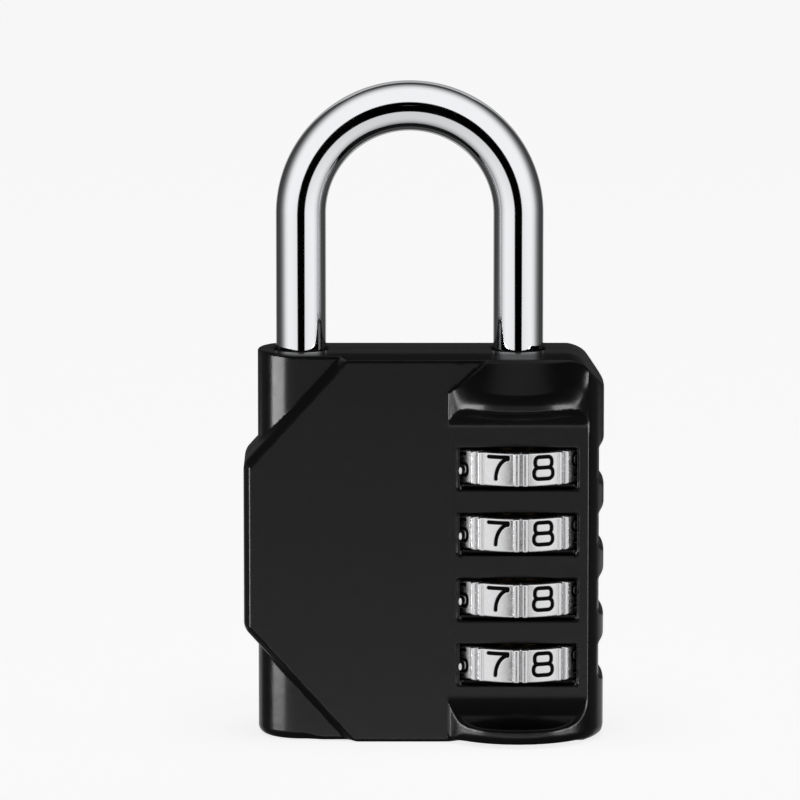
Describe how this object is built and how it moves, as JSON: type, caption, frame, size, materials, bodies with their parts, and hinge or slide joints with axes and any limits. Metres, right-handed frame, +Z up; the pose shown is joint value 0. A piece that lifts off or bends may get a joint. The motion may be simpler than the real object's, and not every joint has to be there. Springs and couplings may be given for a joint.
{
  "type": "combination padlock",
  "caption": "Combination padlock with a black die-cast case, a chromed U shackle and silver number dials in windows down one side.",
  "frame": {"origin": "middle of the base, on the plane that the padlock stands on", "axes": "+Z up the shackle, -Y out of the front where the numbers are read, +X towards the dials"},
  "size_m": [0.044, 0.0216, 0.0807],
  "materials": {
    "black_paint": "gloss black paint over zinc die casting",
    "chrome": "polished chrome plate over hardened steel",
    "satin_silver": "satin nickel plate over zinc, numbers filled with black",
    "brass": "plain machined brass",
    "spring_steel": "plain spring steel",
    "white_enamel": "white enamel"
  },
  "bodies": {
    "case": {"front_shell": "black_paint", "rear_shell": "black_paint", "case_rivet_1": "black_paint", "case_rivet_2": "black_paint", "case_rivet_3": "black_paint", "case_rivet_4": "black_paint", "index_mark_1": "white_enamel", "index_mark_2": "white_enamel", "index_mark_3": "white_enamel", "index_mark_4": "white_enamel", "sleeve_spring": "spring_steel", "thrust_washer": "brass", "top_washer": "brass", "detent_spring": "spring_steel", "detent_rivet_1": "brass", "detent_rivet_2": "brass"},
    "shackle": {"shackle": "chrome", "stop_ring": "spring_steel"},
    "dial_1": {"dial_1": "satin_silver", "sleeve_1": "brass"},
    "dial_2": {"dial_2": "satin_silver", "sleeve_2": "brass"},
    "dial_3": {"dial_3": "satin_silver", "sleeve_3": "brass"},
    "dial_4": {"dial_4": "satin_silver", "sleeve_4": "brass"}
  },
  "joints": [
    {"name": "shackle_lift", "type": "slide", "parent": "case", "child": "shackle", "axis": [0, 0, 1], "range_m": [0, 0.0075]},
    {"name": "dial_1_turn", "type": "hinge", "parent": "case", "child": "dial_1", "pos_m": [0.0115, 0, 0.0099], "axis": [0, 0, 1], "continuous": true},
    {"name": "dial_2_turn", "type": "hinge", "parent": "case", "child": "dial_2", "pos_m": [0.0115, 0, 0.018], "axis": [0, 0, 1], "continuous": true},
    {"name": "dial_3_turn", "type": "hinge", "parent": "case", "child": "dial_3", "pos_m": [0.0115, 0, 0.0261], "axis": [0, 0, 1], "continuous": true},
    {"name": "dial_4_turn", "type": "hinge", "parent": "case", "child": "dial_4", "pos_m": [0.0115, 0, 0.0342], "axis": [0, 0, 1], "continuous": true}
  ]
}
